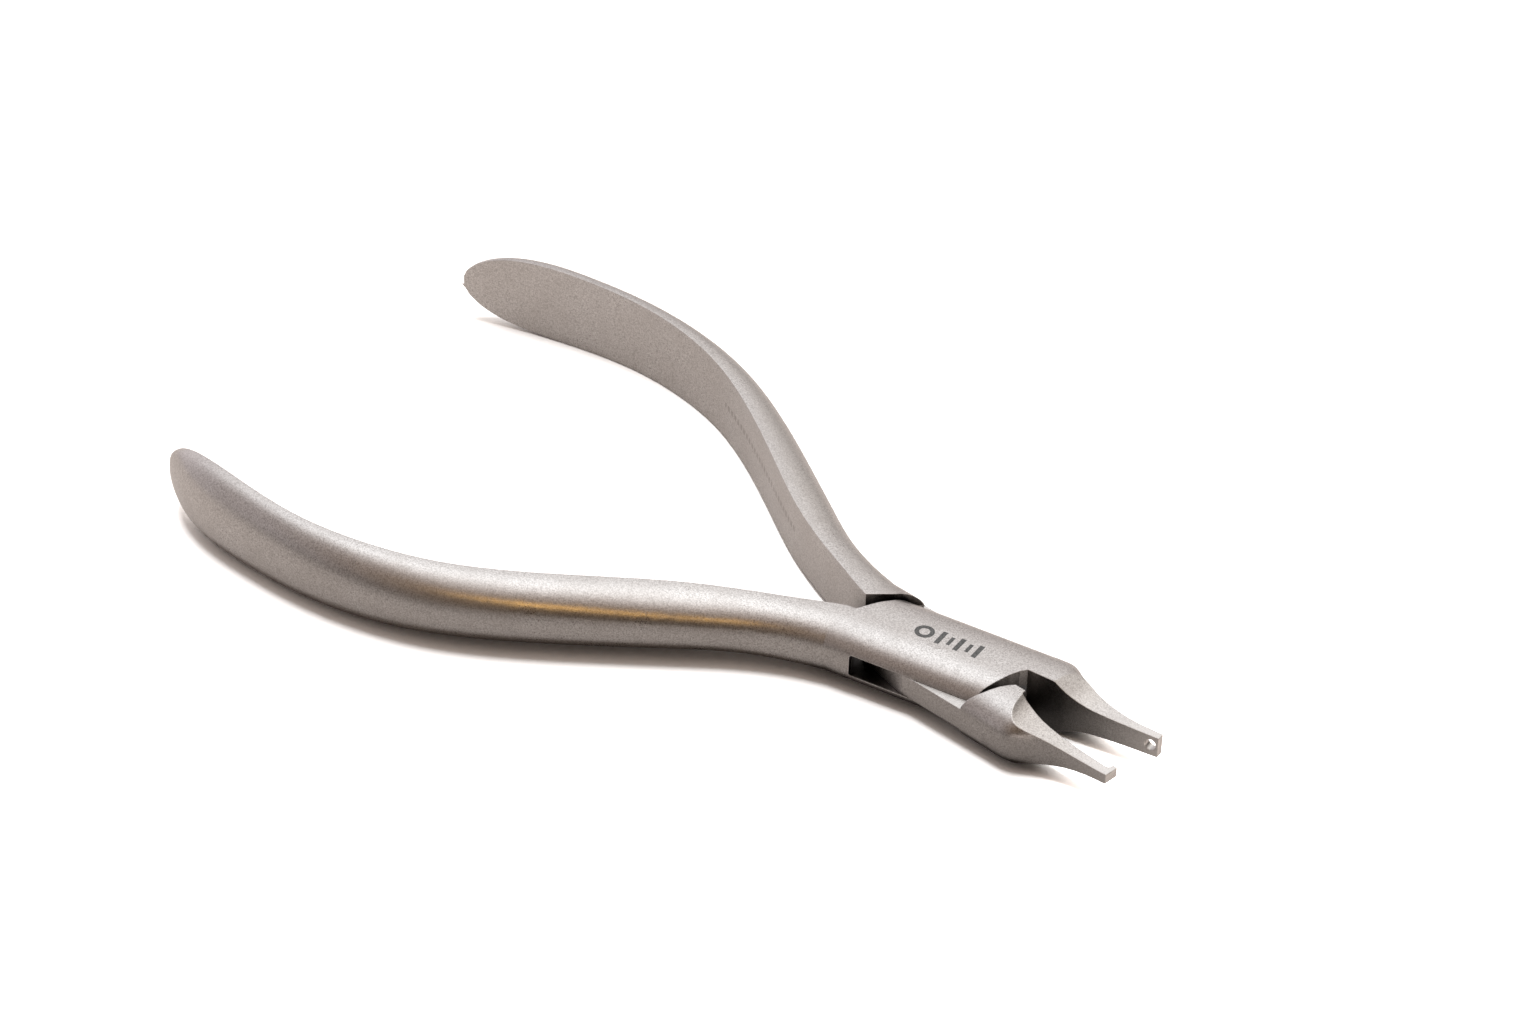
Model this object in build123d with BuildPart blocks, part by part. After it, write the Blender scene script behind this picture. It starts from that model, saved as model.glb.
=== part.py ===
from build123d import *
from math import cos, hypot, radians, sin
import os

# Box-joint crimping pliers: a slotted box half, a lap half that passes through
# the slot, and the rivet pin they turn on.  Everything is in millimetres.
#
# Frame: origin where the pivot axis leaves the flat underside of the joint,
# +Z up along the pivot, +X towards the jaws along the line that bisects the
# opening, +Y towards the handle of the lap half.  Each half is drawn closed,
# on its own centre plane Y = 0, and swung half of the opening at the end.
# "Front" is the jaw end, "rear" the handle end.  A side is +1 for +Y, -1 for -Y.

# ---------------------------------------------------------------- dimensions
OPENING = 13.3          # angle between the two halves at rest, degrees
HALF_T = 4.07           # half the thickness of the joint, and its mid height
SLOT_HALF = 1.60        # half the height of the slot in the box
LAP_HALF = 1.56         # half the thickness of the lap that runs in the slot
SLOT_CORNER = 0.35      # fillet where the end walls of the slot meet its faces

FLAT_HALF = 1.00        # half width of the flats above and below the joint
FLAT_SHARE = 0.25       # the same flat as a share of the width of a slim jaw
HANDLE_EXP = 2.20       # fullness of the handle section
FLANK_EXP = 2.60        # fullness of the rounded flanks of the joint
BLEND_X = -28.0         # where the handle starts to take on the flank's fullness
BLEND_RUN = 14.0        # length of that change
FLANK_STEPS = 8         # points per quarter of a rounded flank

HANDLE_SIDE = 6.70      # centre plane to the flank on the handle's side
ROOT_X = -13.60         # where a handle becomes the flank of the joint
FACE_GAP = 0.20         # inner face of a handle root to the centre plane
JAW_X = 13.00           # where the flank of the joint becomes a jaw
JAW_GAP = 0.09          # knuckle face to the centre plane
JAW_SKEW = 0.25         # slant of a jaw's concave cuts in plan, dx per dy
OVERLAP = 0.60          # how far each flank runs past the centre plane
HANDLE_FLANK_STOP = 0.20    # handle-side flank ends this far behind JAW_X
JAW_FLANK_START = 0.60      # jaw-side flank starts this far in front of ROOT_X

PIN_R = 2.00            # rivet pin, pressed in the two cheeks
PIN_RUNNING = 0.03      # radial clearance of the lap on the pin

HOLE_R = 0.82           # hole through the tip of the box half's jaw
HOLE_X = 30.42
HOLE_UP = 0.10          # hole centre above the middle of the joint
TIP_EDGE = 0.18         # rounding of the edges at the jaw tips

# Reach of the cutting shapes, all clear of the metal
PLAN_Y = 9.50           # side edge of the plan outlines
BOX_END_X = 34.00       # beyond the tip of the box half's jaw
LAP_END_X = 33.00       # beyond the tip of the lap half's jaw
CUT_BASE = -5.0         # bottom of the cuts through the full thickness
CUT_HEIGHT = 20.0
FACE_CUT_BASE = -10.0   # the same for the cut of the lap half's jaw face
FACE_CUT_HEIGHT = 30.0
POCKET_DEPTH = 8.0
PROFILE_TOP = 9.0       # concave cuts, up or down from the middle of the joint
PROFILE_LEAD = 0.10     # their rear edge, behind the first point of the profile
PROFILE_BACK = 2.0      # their start, past the centre plane
PROFILE_LENGTH = 12.0
BORE_LENGTH = 12.0
HOLE_START_Y = -1.0
HOLE_LENGTH = 6.0

# ------------------------------------------------------------ station tables
# Handle, drawn closed and on the +Y side, from its end to the joint:
# x and y of the inner edge, lean of the section in degrees, thickness, height,
# and the narrow flat along its sharp edges.
HANDLE = [
    (-108.98, 17.62, -24.0, 0.36, 1.40, 0.10),
    (-108.76, 17.72, -23.9, 0.60, 2.60, 0.12),
    (-108.35, 17.88, -23.8, 0.95, 3.95, 0.14),
    (-107.72, 18.14, -23.4, 1.35, 5.30, 0.14),
    (-106.80, 18.50, -22.9, 1.82, 6.80, 0.14),
    (-105.60, 18.98, -22.3, 2.32, 8.20, 0.14),
    (-104.00, 19.60, -21.3, 2.86, 9.52, 0.14),
    (-102.00, 20.36, -20.1, 3.36, 10.58, 0.14),
    (-99.80, 21.14, -18.9, 3.70, 11.26, 0.14),
    (-95.58, 22.47, -16.3, 3.92, 11.80, 0.14),
    (-91.04, 23.68, -13.2, 3.84, 11.74, 0.14),
    (-86.47, 24.64, -9.6, 3.80, 11.54, 0.14),
    (-81.85, 25.24, -4.7, 3.90, 11.35, 0.14),
    (-77.19, 25.38, 1.1, 4.13, 11.18, 0.14),
    (-72.47, 25.07, 6.4, 4.42, 10.98, 0.14),
    (-67.70, 24.31, 11.9, 4.74, 10.67, 0.14),
    (-62.87, 23.02, 18.0, 5.04, 10.29, 0.14),
    (-57.97, 21.12, 23.4, 5.30, 9.95, 0.14),
    (-53.01, 18.75, 27.1, 5.50, 9.68, 0.14),
    (-48.01, 16.06, 29.3, 5.68, 9.50, 0.14),
    (-43.00, 13.18, 30.3, 5.88, 9.32, 0.14),
    (-37.97, 10.26, 29.4, 6.05, 9.03, 0.15),
    (-32.98, 7.59, 26.4, 6.00, 8.68, 0.17),
    (-28.04, 5.38, 22.3, 5.68, 8.36, 0.22),
    (-23.80, 3.75, 19.2, 5.48, 8.20, 0.32),
    (-20.60, 2.65, 16.0, 5.50, 8.15, 0.45),
    (-17.80, 1.62, 10.5, 5.80, 8.14, 0.60),
    (-15.60, 0.82, 4.5, 6.20, 8.14, 0.72),
]
# x and distance of the outer face from the centre plane, joint to jaw tip
BOX_JAW = [
    (JAW_X, 7.40), (14.16, 7.42), (15.33, 7.40), (16.49, 6.98), (17.66, 5.95),
    (18.82, 4.88), (19.98, 4.08), (21.15, 3.46), (22.31, 2.97), (23.47, 2.56),
    (24.63, 2.20), (25.80, 1.89), (26.96, 1.68), (28.13, 1.53), (29.29, 1.43),
    (30.46, 1.34), (31.62, 1.25),
]
LAP_JAW = [
    (JAW_X, 6.65), (14.09, 6.68), (15.17, 6.70), (16.26, 6.66), (17.34, 6.40),
    (18.43, 5.78), (19.51, 5.04), (20.60, 4.40), (21.68, 3.88), (22.77, 3.48),
    (23.85, 3.17), (24.94, 2.93), (26.02, 2.75), (27.11, 2.60), (28.19, 2.49),
    (29.28, 2.39), (30.36, 2.30),
]
# x and half height of the jaws along the concave cuts above and below them
BOX_PROFILE = [
    (15.70, 4.30), (16.50, 3.93), (17.30, 3.50), (18.10, 3.08), (19.00, 2.68),
    (20.20, 2.27), (21.80, 1.92), (23.30, 1.77), (24.80, 1.67), (26.30, 1.61),
    (28.00, 1.56), (30.00, 1.51), (BOX_END_X, 1.44),
]
LAP_PROFILE = [
    (14.35, 4.30), (14.95, 3.72), (15.75, 3.22), (16.90, 2.80), (18.40, 2.37),
    (19.80, 2.02), (21.20, 1.69), (22.70, 1.37), (24.20, 1.12), (25.70, 0.93),
    (27.20, 0.81), (29.00, 0.73), (LAP_END_X, 0.68),
]

# ------------------------------------------------------------- plan outlines
# x and y, each on its half's own closed centre plane.
# Shoulders of the box cheeks, inner end first.
CHEEK_REAR = [(-12.45, -0.20), (-11.71, 1.02), (-11.17, 1.91), (-10.63, 2.79),
              (-10.21, 3.40), (-9.74, 4.11), (-9.46, 4.70), (-6.60, PLAN_Y)]
CHEEK_FRONT = [(12.35, 0.61), (11.65, -0.23), (10.95, -1.59), (10.33, -3.11),
               (9.63, -4.41), (9.12, -5.25), (6.90, -PLAN_Y)]
# Inner face of the box half's jaw, joint to tip.
BOX_FACE = [CHEEK_FRONT[0], (15.60, 0.36), (18.00, 0.12), (24.00, 0.14), (BOX_END_X, 0.09)]
# Shoulders of the lap half, inner end first.
LAP_REAR = [(-13.35, 0.13), (-12.56, 1.00), (-11.71, 1.98), (-10.91, 3.02),
            (-10.53, 3.96), (-6.45, PLAN_Y)]
LAP_FRONT = [(12.95, -0.09), (12.49, -0.67), (11.84, -1.83), (11.31, -3.12), (11.06, -3.78),
             (10.40, -4.89), (9.90, -5.62), (9.47, -6.34), (7.90, -PLAN_Y)]
# Recessed face of the lap half's jaw between the knuckle and the toe.
LAP_RECESS = [(14.68, -0.78), (16.20, -0.98), (18.33, -1.36), (20.00, -1.44),
              (21.80, -1.36), (24.50, -1.16), (27.50, -1.00), (29.10, -1.00)]
TOE = [(29.48, -0.86), (29.62, -0.55), (29.62, -0.12)]
KNUCKLE_END_X = 14.60   # front end of the knuckle face
KNUCKLE_CUT_LEAD = 0.05     # the face cut starts this far behind JAW_X
# The slot: rear end wall, open +Y side, front end wall, open -Y side.
SLOT = [(-9.50, -PLAN_Y), (-9.50, -6.90), (-12.55, -0.20), (-12.80, 0.40), (-12.80, PLAN_Y),
        (9.50, PLAN_Y), (9.50, 6.90), (12.55, 0.10), (13.20, -0.50), (13.20, -PLAN_Y)]
# The two corners of the lap that stay clear of the slot ends: the front one at
# +Y, and the rear one at -Y, whose middle points are the front's turned by 180.
LAP_CORNER = [(12.10, 0.12), (8.93, 4.84), (7.28, 5.16)]
LAP_TRIM_FRONT = [LAP_FRONT[0], *LAP_CORNER,
                  (-0.60, 7.06), (-0.60, PLAN_Y), (LAP_FRONT[0][0], PLAN_Y)]
LAP_TRIM_REAR = [(ROOT_X, FACE_GAP), LAP_REAR[0], *[(-x, -y) for x, y in LAP_CORNER],
                 (-0.40, -6.62), (-0.40, -PLAN_Y), (ROOT_X, -PLAN_Y)]


# ------------------------------------------------------------------ sections
def station(x, y, lean, side):
    """Section plane at (x, y): local x runs outwards, local y is vertical."""
    out = Vector(sin(radians(lean)), side * cos(radians(lean)), 0)
    return Plane(origin=(x, side * y, HALF_T), x_dir=out, z_dir=out.cross(Vector(0, 0, 1)))


def flank_points(thick, height, land, exponent):
    """Evenly spaced points along a rounded flank, from its bottom to its top."""
    fine = []
    for half_degree in range(-180, 181):
        angle = radians(half_degree / 2)
        rise = height / 2 * abs(sin(angle)) ** (2 / exponent)
        fine.append((land + (thick - land) * abs(cos(angle)) ** (2 / exponent),
                     rise if half_degree >= 0 else -rise))
    run = [0.0]     # distance along the flank at each fine point
    for start, end in zip(fine, fine[1:]):
        run.append(run[-1] + hypot(end[0] - start[0], end[1] - start[1]))
    points, k = [], 0
    for i in range(1, 2 * FLANK_STEPS):
        target = run[-1] * i / (2 * FLANK_STEPS)
        while run[k + 1] < target:
            k += 1
        part = (target - run[k]) / (run[k + 1] - run[k])
        points.append((fine[k][0] + part * (fine[k + 1][0] - fine[k][0]),
                       fine[k][1] + part * (fine[k + 1][1] - fine[k][1])))
    return [(land, -height / 2), *points, (land, height / 2)]


def d_section(plane, thick, height, land, exponent):
    """Section with a straight inner face, flat lands and a rounded flank."""
    half = height / 2
    with BuildSketch(plane) as section:
        with BuildLine():
            Polyline((land, half), (0, half), (0, -half), (land, -half))
            Spline(*flank_points(thick, height, land, exponent),
                   tangents=[(1, 0), (-1, 0)], tangent_scalars=[1, 1])
        make_face()
    return section.sketch


def handle_rows(side):
    rows = []
    for x, y, lean, thick, height, land in HANDLE:
        blend = max(0, (x - BLEND_X) / BLEND_RUN)
        exponent = HANDLE_EXP + (FLANK_EXP - HANDLE_EXP) * blend
        rows.append(d_section(station(x, y, lean, side), thick, height, land, exponent))
    rows.append(d_section(station(ROOT_X, FACE_GAP, 0, side), HANDLE_SIDE - FACE_GAP,
                          2 * HALF_T, FLAT_HALF - FACE_GAP, FLANK_EXP))
    return rows


def flank_row(x, width, side):
    """Full-height section of the joint or a jaw, from just past the centre plane."""
    return d_section(station(x, -OVERLAP, 0, side), width + OVERLAP, 2 * HALF_T,
                     min(FLAT_HALF, FLAT_SHARE * width) + OVERLAP, FLANK_EXP)


def outline(points, height):
    with BuildSketch(Plane.XY.offset(height)) as plan:
        with BuildLine():
            Polyline(*points, close=True)
        make_face()
    return plan.sketch


def lap_face():
    """Plan area on the open, +Y side of the lap half's jaw."""
    rear_x = JAW_X - KNUCKLE_CUT_LEAD
    with BuildSketch(Plane.XY.offset(FACE_CUT_BASE)) as plan:
        with BuildLine():
            Polyline(TOE[-1], (LAP_END_X, TOE[-1][1]), (LAP_END_X, PLAN_Y), (rear_x, PLAN_Y),
                     (rear_x, -JAW_GAP), (KNUCKLE_END_X, -JAW_GAP), LAP_RECESS[0])
            Spline(*LAP_RECESS)
            Polyline(LAP_RECESS[-1], *TOE)
        make_face()
    return plan.sketch


def profile_face(table, side, up):
    """Area above (up = 1) or below (up = -1) a jaw, set back past the centre plane."""
    plane = Plane(origin=(-PROFILE_BACK * JAW_SKEW, -PROFILE_BACK * side, HALF_T),
                  x_dir=(1, 0, 0), z_dir=(0, -1, 0))
    curve = [(x, up * z) for x, z in table]
    top = PROFILE_TOP * up
    with BuildSketch(plane) as area:
        with BuildLine():
            Polyline(curve[-1], (curve[-1][0], top), (curve[0][0] - PROFILE_LEAD, top), curve[0])
            Spline(*curve)
        make_face()
    return area.sketch


# --------------------------------- steps that act on the part being built
def rough_half(handle_side, jaw):
    """Handle, the two flanks of the joint, and the jaw on the opposite side."""
    jaw_side = -handle_side
    add(handle_rows(handle_side))
    loft()
    add(flank_row(ROOT_X, HANDLE_SIDE, handle_side))
    extrude(amount=JAW_X - HANDLE_FLANK_STOP - ROOT_X, dir=(1, 0, 0))
    add(flank_row(ROOT_X + JAW_FLANK_START, jaw[0][1], jaw_side))
    extrude(amount=JAW_X - ROOT_X - JAW_FLANK_START, dir=(1, 0, 0))
    add([flank_row(x, width, jaw_side) for x, width in jaw])
    loft()


def cut_through(*outlines):
    for points in outlines:
        add(outline(points, CUT_BASE))
    extrude(amount=CUT_HEIGHT, mode=Mode.SUBTRACT)


def cut_profile(table, side):
    """Concave cuts above and below the jaw."""
    for up in (1, -1):
        add(profile_face(table, side, up))
        extrude(amount=PROFILE_LENGTH, dir=(JAW_SKEW, side, 0), mode=Mode.SUBTRACT)


def pivot_cylinder(radius, height, mode=Mode.ADD):
    with Locations((0, 0, HALF_T)):
        Cylinder(radius, height, mode=mode)


def finish_half(half, swing):
    """Round the jaw tip, then swing the half to its rest position."""
    fillet(half.faces().sort_by(Axis.X)[-1].outer_wire().edges(), radius=TIP_EDGE)
    add(half.part.rotate(Axis.Z, swing), mode=Mode.REPLACE)


# -------------------------------------------------------------------- pieces
def slot_tool():
    """The slot as a solid, rounded above and below along its two end walls."""
    with BuildPart() as tool:
        add(outline(SLOT, HALF_T - SLOT_HALF))
        extrude(amount=2 * SLOT_HALF)
        # level edges that advance in Y: those of the end walls
        ends = [edge for edge in tool.edges()
                if abs((edge @ 0).Z - (edge @ 1).Z) < 1e-6
                and abs((edge @ 0).Y - (edge @ 1).Y) > 0.3]
        fillet(ends, radius=SLOT_CORNER)
    return tool.part


def make_box_half():
    with BuildPart() as half:
        rough_half(-1, BOX_JAW)
        # shoulder behind the cheeks, on the side the lap half's handle leaves
        cut_through(CHEEK_REAR + [(ROOT_X, PLAN_Y), (ROOT_X, -FACE_GAP)])
        # shoulder in front of the cheeks and the inner face of the jaw
        cut_through(BOX_FACE + [(BOX_END_X, -PLAN_Y)] + CHEEK_FRONT[:0:-1])
        cut_profile(BOX_PROFILE, 1)
        add(slot_tool(), mode=Mode.SUBTRACT)
        pivot_cylinder(PIN_R, BORE_LENGTH, Mode.SUBTRACT)
        # hole across the jaw tip
        with BuildSketch(Plane(origin=(HOLE_X, HOLE_START_Y, HALF_T + HOLE_UP), z_dir=(0, 1, 0))):
            Circle(HOLE_R)
        extrude(amount=HOLE_LENGTH, mode=Mode.SUBTRACT)
        finish_half(half, OPENING / 2)
    return half.part


def make_lap_half():
    with BuildPart() as half:
        rough_half(1, LAP_JAW)
        # inner face of knuckle, jaw and toe
        add(lap_face())
        extrude(amount=FACE_CUT_HEIGHT, mode=Mode.SUBTRACT)
        # pockets above and below the lap, between the two shoulders
        pocket = (LAP_REAR[::-1] + [(LAP_REAR[0][0], -PLAN_Y)]
                  + LAP_FRONT[::-1] + [(LAP_FRONT[0][0], PLAN_Y)])
        for up in (1, -1):
            add(outline(pocket, HALF_T + up * LAP_HALF))
            extrude(amount=up * POCKET_DEPTH, mode=Mode.SUBTRACT)
        cut_through(LAP_TRIM_REAR, LAP_TRIM_FRONT)
        cut_profile(LAP_PROFILE, -1)
        pivot_cylinder(PIN_R + PIN_RUNNING, BORE_LENGTH, Mode.SUBTRACT)
        finish_half(half, -OPENING / 2)
    return half.part


def make_pivot_pin():
    with BuildPart() as pin:
        pivot_cylinder(PIN_R, 2 * HALF_T)
    return pin.part


os.makedirs("parts", exist_ok=True)
for name, make in (("box_half", make_box_half), ("lap_half", make_lap_half),
                   ("pivot_pin", make_pivot_pin)):
    piece = make()
    piece.label = name
    export_step(piece, f"parts/{name}.step")
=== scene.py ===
# A blasted steel hand tool: two halves, each with a jaw and a handle, crossing at a pivot pin.
# The pivot is the Z axis, the joint stands on z = 0, the jaws point to +X and the handles to -X.
# It stands partly open, on a pale paper floor in a soft studio.
import math

import bpy
from mathutils import Matrix, Vector


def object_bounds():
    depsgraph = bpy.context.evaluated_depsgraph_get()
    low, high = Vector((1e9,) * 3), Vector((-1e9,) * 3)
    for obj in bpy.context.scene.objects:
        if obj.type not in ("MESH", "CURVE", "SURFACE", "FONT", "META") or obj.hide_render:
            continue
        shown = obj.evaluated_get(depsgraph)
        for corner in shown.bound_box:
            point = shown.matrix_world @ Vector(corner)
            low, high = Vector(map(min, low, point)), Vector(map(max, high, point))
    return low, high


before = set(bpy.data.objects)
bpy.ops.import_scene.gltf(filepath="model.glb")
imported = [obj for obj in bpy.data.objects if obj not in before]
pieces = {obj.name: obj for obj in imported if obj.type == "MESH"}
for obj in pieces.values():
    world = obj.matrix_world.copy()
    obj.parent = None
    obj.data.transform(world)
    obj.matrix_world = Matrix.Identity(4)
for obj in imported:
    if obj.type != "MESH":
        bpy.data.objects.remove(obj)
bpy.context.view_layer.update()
scene = bpy.context.scene

MM = 0.001
HALF_T = 4.07        # half the thickness of the joint, mm
HALF_OPEN = 6.65     # each half is swung this far off the centre line, degrees

# Camera: direction it is seen in from the tool and its roll in degrees, lengths in mm
CAM_AZ, CAM_EL, CAM_ROLL = 36.342, 35.134, 2.4165
CAM_TARGET = (-38.510184, 12.09558, HALF_T)
CAM_DISTANCE = 640.514808

# The floor touches the handles and the front of the joint, metres
REST_X, REST_DROP = -0.085, 0.00002
FRONT_X, FRONT_Z = 0.0135, -0.00003
FLOOR_HALF, FLOOR_STEPS = 3.0, 8


def from_camera_side(azimuth, elevation):
    """Unit vector, with the azimuth counted from the camera's side towards its right."""
    camera, turn, rise = (math.radians(v) for v in (CAM_AZ, azimuth, elevation))
    near, side = math.cos(turn) * math.cos(rise), math.sin(turn) * math.cos(rise)
    return Vector((near * math.sin(camera) + side * math.cos(camera),
                   -near * math.cos(camera) + side * math.sin(camera),
                   math.sin(rise)))


# ------------------------------------------------------------ node helpers
class Graph:
    """Builds the node tree of a material or world. Values may be sockets or constants."""

    def __init__(self, owner, output_kind):
        owner.use_nodes = True
        self.tree = owner.node_tree
        self.tree.nodes.clear()
        self.surface = self.add(output_kind).inputs[0]

    def add(self, kind, **settings):
        node = self.tree.nodes.new(kind)
        for key, value in settings.items():
            setattr(node, key, value)
        return node

    def put(self, socket, value):
        """Link or set an input. Colours are given without alpha."""
        if isinstance(value, bpy.types.NodeSocket):
            self.tree.links.new(value, socket)
        elif socket.type == "RGBA":
            socket.default_value = (*value, 1)
        else:
            socket.default_value = value

    def math(self, operation, a, b=0.0):
        node = self.add("ShaderNodeMath", operation=operation)
        self.put(node.inputs[0], a)
        self.put(node.inputs[1], b)
        return node.outputs[0]

    def times(self, first, *factors):
        for factor in factors:
            first = self.math("MULTIPLY", first, factor)
        return first

    def plus(self, value, other, scale):
        return self.math("ADD", value, self.times(other, scale))

    def invert(self, value):
        return self.math("SUBTRACT", 1.0, value)

    def distance(self, value, middle):
        return self.math("ABSOLUTE", self.math("SUBTRACT", value, middle))

    def radius(self, x, y):
        squares = self.math("ADD", self.math("POWER", x, 2.0), self.math("POWER", y, 2.0))
        return self.math("POWER", squares, 0.5)

    def dot(self, a, b):
        node = self.add("ShaderNodeVectorMath", operation="DOT_PRODUCT")
        self.put(node.inputs[0], a)
        self.put(node.inputs[1], b)
        return node.outputs["Value"]

    def split(self, vector):
        node = self.add("ShaderNodeSeparateXYZ")
        self.put(node.inputs[0], vector)
        return node.outputs

    def mapping(self, vector, scale, turn=0.0):
        node = self.add("ShaderNodeMapping")
        node.inputs["Rotation"].default_value = (0, 0, turn)
        node.inputs["Scale"].default_value = scale
        self.put(node.inputs["Vector"], vector)
        return node.outputs["Vector"]

    def step(self, value, over, to=(0.0, 1.0), kind="SMOOTHSTEP"):
        """Ease from to[0] to to[1] as the value runs from over[0] to over[1]."""
        node = self.add("ShaderNodeMapRange", interpolation_type=kind)
        self.put(node.inputs["Value"], value)
        for key, number in zip(("From Min", "From Max", "To Min", "To Max"), (*over, *to)):
            node.inputs[key].default_value = number
        return node.outputs["Result"]

    def within(self, value, limit, soft):
        """1 below the limit and 0 above it, with a soft border."""
        return self.step(value, over=(limit + soft, limit - soft))

    def mix(self, amount, a, b, blend="MIX"):
        node = self.add("ShaderNodeMix", data_type="RGBA", blend_type=blend)
        self.put(node.inputs[0], amount)
        self.put(node.inputs[6], a)
        self.put(node.inputs[7], b)
        return node.outputs[2]

    def two_tone(self, pattern, over, dark, light):
        return self.mix(self.step(pattern, over), dark, light)

    def cover(self, base, mask, strength, colour):
        return self.mix(self.times(mask, strength), base, colour)

    def noise(self, vector, scale, detail, rough):
        node = self.add("ShaderNodeTexNoise")
        self.put(node.inputs["Vector"], vector)
        node.inputs["Scale"].default_value = scale
        node.inputs["Detail"].default_value = detail
        node.inputs["Roughness"].default_value = rough
        return node.outputs["Fac"]


def new_material(name):
    material = bpy.data.materials.new(name)
    return material, Graph(material, "ShaderNodeOutputMaterial")


# ------------------------------------------------------------------- steel
# x, y, z and closed are in mm, in the frame of the closed tool.
MARK_RING = (-2.6, 0.35)      # centre of the ring; the bars share its y
# x, half length, half width
MARK_BARS = ((-0.2, 1.40, 0.34), (1.2, 0.90, 0.26), (2.5, 1.40, 0.34),
             (3.9, 0.90, 0.26), (5.2, 1.40, 0.34))


def grind_lap(g, closed, base, rough):
    """Flats of the lap, ground bright across its width. Also returns the mask of the waist."""
    x, _, z = g.split(closed) if False else closed_parts(closed)
    normal = g.split(g.add("ShaderNodeNewGeometry").outputs["True Normal"])
    level = g.step(g.math("ABSOLUTE", normal[2]), over=(0.97, 0.995))
    waist = g.times(g.within(g.distance(z, HALF_T), limit=1.70, soft=0.05),
                    g.within(g.math("ABSOLUTE", x), limit=13.4, soft=0.2))
    flats = g.times(level, waist)
    lines = g.mapping(closed, scale=(9.0, 0.35, 1.0))
    scratch = g.noise(lines, scale=1.6, detail=3.0, rough=0.6)
    ground = g.two_tone(scratch, over=(0.35, 0.65),
                        dark=(0.55, 0.535, 0.52), light=(0.66, 0.645, 0.63))
    return g.mix(flats, base, ground), g.plus(rough, flats, scale=-0.04), waist


def closed_parts(closed):
    """Outputs of the node that already splits the closed frame coordinates."""
    return next(link.to_node.outputs for link in closed.links
                if link.to_node.bl_idname == "ShaderNodeSeparateXYZ")


def laser_mark(g, x, y, z, grain, base, rough):
    """A dark ring and a row of bars on the flat top."""
    top = g.step(z, over=(2 * HALF_T - 0.06, 2 * HALF_T - 0.03))
    ring_x, ring_y = MARK_RING
    from_ring = g.radius(g.math("SUBTRACT", x, ring_x), g.math("SUBTRACT", y, ring_y))
    shapes = [g.within(g.distance(from_ring, middle=1.02), limit=0.31, soft=0.03)]
    for bar_x, half_length, half_width in MARK_BARS:
        across = g.distance(x, bar_x)
        along = g.distance(y, ring_y)
        shapes.append(g.times(g.within(across, half_width, soft=0.03),
                              g.within(along, half_length, soft=0.03)))
    mark = shapes[0]
    for shape in shapes[1:]:
        mark = g.math("MAXIMUM", mark, shape)
    mark = g.times(mark, top)
    burn = g.two_tone(grain, over=(0.35, 0.65),
                      dark=(0.060, 0.062, 0.062), light=(0.120, 0.122, 0.120))
    return g.cover(base, mark, strength=0.93, colour=burn), g.plus(rough, mark, scale=0.18)


def etched_ticks(g, x, y, z, base):
    """Faint row of etched ticks along the inner face of the handle."""
    local = g.add("ShaderNodeVectorTransform", vector_type="NORMAL",
                  convert_from="WORLD", convert_to="OBJECT")
    g.put(local.inputs[0], g.add("ShaderNodeNewGeometry").outputs["True Normal"])
    facing = g.step(g.split(local.outputs[0])[1], over=(-0.60, -0.74))
    handle_x, handle_y, ticks_per_mm = 0.885, 0.465, 0.85    # run of the handle, tick spacing
    along = g.math("SUBTRACT", g.times(x, handle_x), g.times(y, handle_y))
    span = g.times(g.step(x, over=(-61.0, -60.6)), g.step(x, over=(-33.2, -33.6)))
    row = g.within(g.distance(z, HALF_T + 0.12), limit=0.42, soft=0.04)
    wave = g.math("FRACT", g.times(along, ticks_per_mm))
    tick = g.within(g.distance(wave, middle=0.5), limit=0.31, soft=0.03)
    ticks = g.times(facing, span, row, tick)
    return g.cover(base, ticks, strength=0.42, colour=(0.16, 0.13, 0.12))


def paint_recess_shade(g, x, base, waist):
    """Painted shade: the recesses are painted darker where little light reaches them, fainter on
    the ground waist if there is one.
    """
    occlusion = g.add("ShaderNodeAmbientOcclusion", samples=8)
    occlusion.inputs["Distance"].default_value = 0.0110
    recess = g.times(g.step(occlusion.outputs["AO"], over=(0.70, 0.20)),
                     g.step(x, over=(-18.0, -13.0)))
    if waist is not None:
        recess = g.times(recess, g.invert(g.times(waist, 0.75)))
    return g.cover(base, recess, strength=0.94, colour=(0.040, 0.038, 0.036))


def brighten_edges_wear_and_highlight(g, x, y, z, speck, base):
    """Edges painted brighter, partly as rubbed wear and partly as a painted highlight. Also
    returns the normal, rounded at the edges.
    """
    bevel = g.add("ShaderNodeBevel", samples=4)
    bevel.inputs["Radius"].default_value = 0.00022
    rounded = bevel.outputs["Normal"]
    flat = g.add("ShaderNodeNewGeometry").outputs["Normal"]
    corner = g.step(g.dot(rounded, flat), over=(0.985, 0.90))
    edge = g.times(corner, g.step(speck, over=(0.30, 0.60), to=(0.45, 1.0)))
    # the rivet is dressed flush, so no rim shows round it
    from_pivot = g.radius(x, y)
    ends = g.step(g.distance(z, HALF_T), over=(HALF_T - 0.20, HALF_T - 0.10))
    flush = g.times(g.within(from_pivot, limit=2.65, soft=0.15), ends)
    edge = g.times(edge, g.invert(flush))
    corner = g.times(corner, g.invert(flush))
    normal = g.add("ShaderNodeMix", data_type="VECTOR")
    g.put(normal.inputs[0], corner)
    g.put(normal.inputs[4], flat)
    g.put(normal.inputs[5], rounded)
    # painted highlight and rubbed wear along the edges
    base = g.cover(base, edge, strength=0.80, colour=(0.80, 0.78, 0.76))
    return base, normal.outputs[1]


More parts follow.
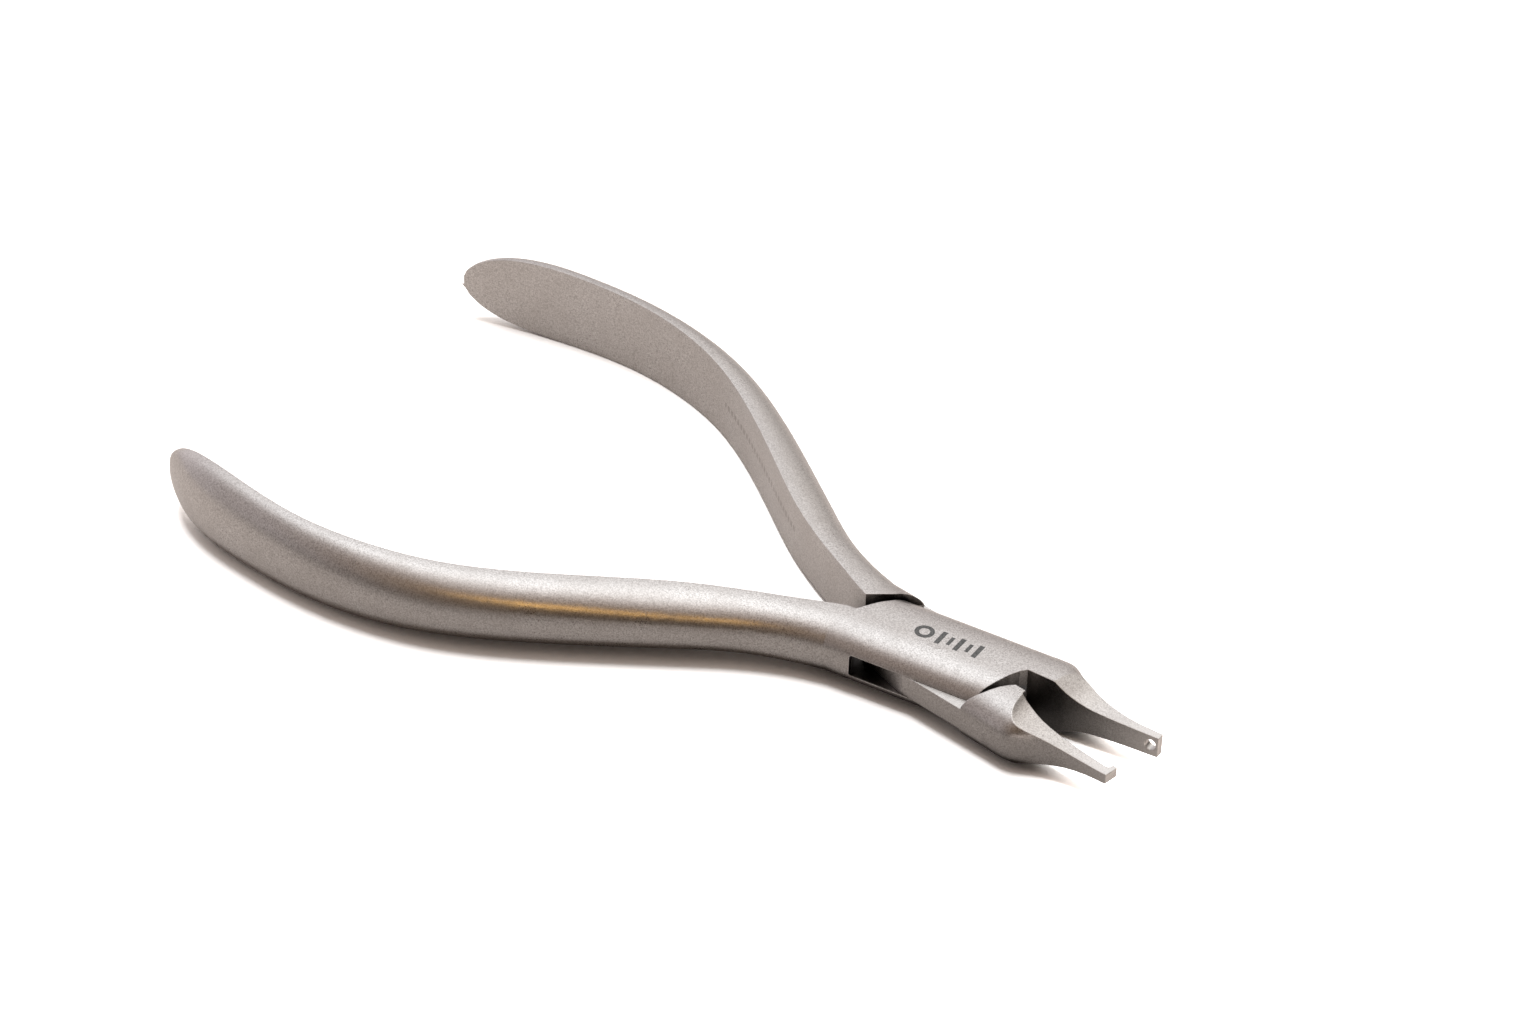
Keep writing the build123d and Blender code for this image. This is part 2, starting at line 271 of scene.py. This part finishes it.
def steel(name, swing, mark=False, ground_lap=False, etched=False):
    """Bead blasted stainless steel with its grain, mottling and marks."""
    material, g = new_material(name)
    bsdf = g.add("ShaderNodeBsdfPrincipled")
    g.put(g.surface, bsdf.outputs[0])
    bsdf.inputs["Metallic"].default_value = 1.0
    place = g.add("ShaderNodeTexCoord").outputs["Object"]
    closed = g.mapping(place, scale=(1 / MM,) * 3, turn=math.radians(-swing))
    x, y, z = g.split(closed)

    # blasting grain: dimples about a tenth of a millimetre across
    dimples = g.add("ShaderNodeTexVoronoi", feature="SMOOTH_F1")
    g.put(dimples.inputs["Vector"], place)
    dimples.inputs["Scale"].default_value = 5200.0
    dimples.inputs["Smoothness"].default_value = 0.6
    grain = g.noise(place, scale=5200.0, detail=2.0, rough=0.60)
    speck = g.noise(place, scale=2700.0, detail=2.0, rough=0.5)
    cloud = g.noise(place, scale=170.0, detail=3.0, rough=0.55)
    drift = g.noise(place, scale=38.0, detail=2.0, rough=0.5)

    base = g.two_tone(grain, over=(0.30, 0.72),
                      dark=(0.345, 0.325, 0.312), light=(0.640, 0.618, 0.603))
    # pattern, range it eases in over, greatest amount, colour
    for pattern, over, amount, colour in (
        (speck, (0.38, 0.66), 0.30, (0.640, 0.616, 0.598)),
        (speck, (0.48, 0.28), 0.16, (0.330, 0.310, 0.298)),
        (cloud, (0.36, 0.68), 0.22, (0.430, 0.400, 0.376)),
        (drift, (0.35, 0.70), 0.14, (0.520, 0.505, 0.500)),
    ):
        base = g.mix(g.step(pattern, over, to=(0.0, amount)), base, colour)
    rough = g.math("ADD", g.step(cloud, over=(0.30, 0.72), to=(0.285, 0.335)),
                   g.step(grain, over=(0.3, 0.7), to=(-0.02, 0.03)))

    waist = None
    if ground_lap:
        base, rough, waist = grind_lap(g, closed, base, rough)
    if mark:
        base, rough = laser_mark(g, x, y, z, grain, base, rough)
    if etched:
        base = etched_ticks(g, x, y, z, base)
    # painted shade in the recesses, where ambient occlusion is low
    base = paint_recess_shade(g, x, base, waist)
    base, normal = brighten_edges_wear_and_highlight(g, x, y, z, speck, base)
    # painted highlight: the ends of the jaws are painted a little brighter, where they catch the
    # light
    tip_highlight = g.step(x, over=(22.0, 30.0))
    base = g.cover(base, tip_highlight, strength=0.42, colour=(0.78, 0.76, 0.74))
    g.put(bsdf.inputs["Base Color"], base)
    g.put(bsdf.inputs["Roughness"], rough)

    height = g.plus(g.times(dimples.outputs["Distance"], 0.5), grain, scale=0.8)
    height = g.plus(height, speck, scale=0.5)
    bump = g.add("ShaderNodeBump")
    bump.inputs["Strength"].default_value = 0.30
    bump.inputs["Distance"].default_value = 0.000034
    g.put(bump.inputs["Height"], height)
    g.put(bump.inputs["Normal"], normal)
    g.put(bsdf.inputs["Normal"], bump.outputs["Normal"])
    return material


for name, swing, features in (
    ("box_half", HALF_OPEN, {"mark": True}),
    ("lap_half", -HALF_OPEN, {"ground_lap": True, "etched": True}),
    ("pivot_pin", HALF_OPEN, {"mark": True}),
):
    material = steel("steel_" + name, swing, **features)
    piece = pieces[name]
    if not piece.material_slots:
        piece.data.materials.append(material)
    for slot in piece.material_slots:
        slot.material = material


# ------------------------------------------------------------------- floor
# position, brightness of the table in reflections, running toward the camera; a painted shade that
# deepens toward the camera
TABLE_STOPS = ((0.0, 1.0), (0.18, 0.96), (0.34, 0.70), (0.46, 0.50), (0.70, 0.30), (1.0, 0.16))


def floor_material():
    """Paper: bright white to the camera, a duller, warmer table to the steel."""
    material, g = new_material("paper_floor")
    seen = g.add("ShaderNodeBsdfDiffuse")
    bounced = g.add("ShaderNodeBsdfDiffuse")
    place = g.add("ShaderNodeTexCoord").outputs["Object"]
    fibre = g.noise(place, scale=900.0, detail=3.0, rough=0.6)
    x = g.split(place)[0]      # metres from REST_X
    paper = g.two_tone(fibre, over=(0.3, 0.7), dark=(0.98, 0.99, 1.00), light=(1.02, 1.03, 1.04))
    # painted pool of light: the paper is painted brightest from the ends of the jaws onward along
    # +X, which lifts their shadows
    painted_light_pool = g.two_tone(x, over=(0.102, 0.111), dark=(1, 1, 1), light=(2.1, 2.1, 2.1))
    g.put(seen.inputs["Color"], g.mix(1.0, paper, painted_light_pool, blend="MULTIPLY"))

    # distance from the pivot toward the camera, metres
    toward = g.dot(place, from_camera_side(0, 0))
    toward = g.math("SUBTRACT", toward, -REST_X * math.sin(math.radians(CAM_AZ)))
    # painted shade: in reflections the table is painted darker toward the camera
    ramp = g.add("ShaderNodeValToRGB")
    g.put(ramp.inputs[0], g.step(toward, over=(-0.06, 0.12), kind="LINEAR"))
    stops = ramp.color_ramp.elements
    while len(stops) < len(TABLE_STOPS):
        stops.new(0.5)
    for stop, (position, value) in zip(stops, TABLE_STOPS):
        stop.position = position
        stop.color = (value, value, value, 1)
    table = g.two_tone(fibre, over=(0.3, 0.7), dark=(0.49, 0.465, 0.45), light=(0.53, 0.505, 0.49))
    # painted pool of light: in reflections the part of the table beside the ends of the jaws is
    # painted bright again
    dull = g.two_tone(x, over=(0.110, 0.132), dark=ramp.outputs[0], light=(1.70, 1.66, 1.62))
    g.put(bounced.inputs["Color"], g.mix(1.0, table, dull, blend="MULTIPLY"))

    choice = g.add("ShaderNodeMixShader")
    g.put(choice.inputs[0], g.add("ShaderNodeLightPath").outputs["Is Camera Ray"])
    g.put(choice.inputs[1], bounced.outputs[0])
    g.put(choice.inputs[2], seen.outputs[0])
    g.put(g.surface, choice.outputs[0])
    return material


def build_floor():
    """Square grid, leaning so that both the deeper handles and the joint rest on it."""
    rest_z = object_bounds()[0].z - REST_DROP
    lean = math.atan2(FRONT_Z - rest_z, FRONT_X - REST_X)
    ticks = [-FLOOR_HALF + 2 * FLOOR_HALF * i / FLOOR_STEPS for i in range(FLOOR_STEPS + 1)]
    row = len(ticks)
    corners = [i * row + j for i in range(FLOOR_STEPS) for j in range(FLOOR_STEPS)]
    mesh = bpy.data.meshes.new("floor")
    mesh.from_pydata([(x, y, 0) for x in ticks for y in ticks], [],
                     [(c, c + row, c + row + 1, c + 1) for c in corners])
    floor = bpy.data.objects.new("floor", mesh)
    scene.collection.objects.link(floor)
    floor.location = (REST_X, 0, rest_z)
    floor.rotation_euler = (0, -lean, 0)
    mesh.materials.append(floor_material())


# ------------------------------------------------------------------ studio
# Soft lobes of light: azimuth and elevation as in from_camera_side, sharpness, colour
LOBES = (
    (0, 90, 5.0, (0.62, 0.46, 0.37)),      # large overhead diffuser
    (180, 70, 8.0, (1.51, 1.68, 1.79)),    # bright panel above and behind the table
    (140, 45, 8.0, (0.66, 0.60, 0.54)),
    (150, 12, 5.0, (0.38, 0.36, 0.34)),    # back wall
    (-150, 12, 5.0, (0.96, 0.89, 0.91)),
    (-90, 10, 4.0, (0.55, 0.50, 0.50)),    # window side
    (-30, 30, 8.0, (0.17, 0.11, 0.06)),
)


def build_world():
    """Lobes of light on black; the camera itself sees plain white."""
    world = bpy.data.worlds.new("studio")
    scene.world = world
    g = Graph(world, "ShaderNodeOutputWorld")
    background = g.add("ShaderNodeBackground")
    g.put(g.surface, background.outputs[0])
    direction = g.add("ShaderNodeTexCoord").outputs["Generated"]
    total = g.add("ShaderNodeRGB").outputs[0]
    total.default_value = (0, 0, 0, 1)
    for azimuth, elevation, sharpness, colour in LOBES:
        facing = g.dot(direction, from_camera_side(azimuth, elevation))
        weight = g.math("EXPONENT", g.times(g.math("SUBTRACT", facing, 1.0), sharpness))
        total = g.mix(1.0, total, g.mix(weight, (0, 0, 0), colour), blend="ADD")
    seen = g.add("ShaderNodeLightPath").outputs["Is Camera Ray"]
    g.put(background.inputs["Color"], g.mix(seen, total, (1.0, 1.0, 1.0)))
    background.inputs["Strength"].default_value = 1.0


def add_lamp(name, kind, toward, energy, colour):
    """A lamp shining from the given direction."""
    data = bpy.data.lights.new(name, kind)
    data.energy = energy
    data.color = colour
    lamp = bpy.data.objects.new(name, data)
    scene.collection.objects.link(lamp)
    lamp.rotation_euler = toward.to_track_quat("Z", "Y").to_euler()
    return lamp


def add_soft_sun(name, azimuth, elevation, energy, spread, colour):
    """Draws shadows on the table without being mirrored in the steel."""
    lamp = add_lamp(name, "SUN", from_camera_side(azimuth, elevation), energy, colour)
    lamp.data.angle = math.radians(spread)
    lamp.visible_glossy = False


def add_warm_lamp():
    """A warm lamp on the near side, which only reaches the half with the near handle."""
    toward = from_camera_side(azimuth=-8, elevation=41)
    lamp = add_lamp("warm", "AREA", toward, energy=0.00074, colour=(1.0, 0.57, 0.15))
    lamp.data.shape = "DISK"
    lamp.data.size = 0.088
    lamp.data.spread = math.radians(12)
    aim, distance = Vector((-0.050, -0.024, 0.004)), 0.45
    lamp.location = aim + toward * distance
    lamp.visible_camera = False
    reach = bpy.data.collections.new("warm_reach")
    reach.objects.link(pieces["box_half"])
    lamp.light_linking.receiver_collection = reach


def add_camera():
    data = bpy.data.cameras.new("camera")
    camera = bpy.data.objects.new("camera", data)
    scene.collection.objects.link(camera)
    scene.camera = camera
    data.sensor_width = 36.0
    data.lens = 113.10
    data.clip_start = 0.02
    data.clip_end = 20.0
    back = from_camera_side(0, CAM_EL)
    right = from_camera_side(90, 0)
    up = back.cross(right)
    roll = math.radians(CAM_ROLL)
    right, up = (right * math.cos(roll) + up * math.sin(roll),
                 up * math.cos(roll) - right * math.sin(roll))
    pose = Matrix((right, up, back)).transposed().to_4x4()
    pose.translation = Vector(CAM_TARGET) * MM + back * (CAM_DISTANCE * MM)
    camera.matrix_world = pose


build_floor()
build_world()
add_soft_sun("key", azimuth=-120, elevation=80, energy=2.1, spread=15, colour=(1.0, 1.0, 1.0))
add_soft_sun("fill", azimuth=180, elevation=72, energy=0.6, spread=100, colour=(1.0, 0.72, 0.50))
add_warm_lamp()
add_camera()
scene.view_settings.view_transform = "Standard"
scene.view_settings.look = "None"
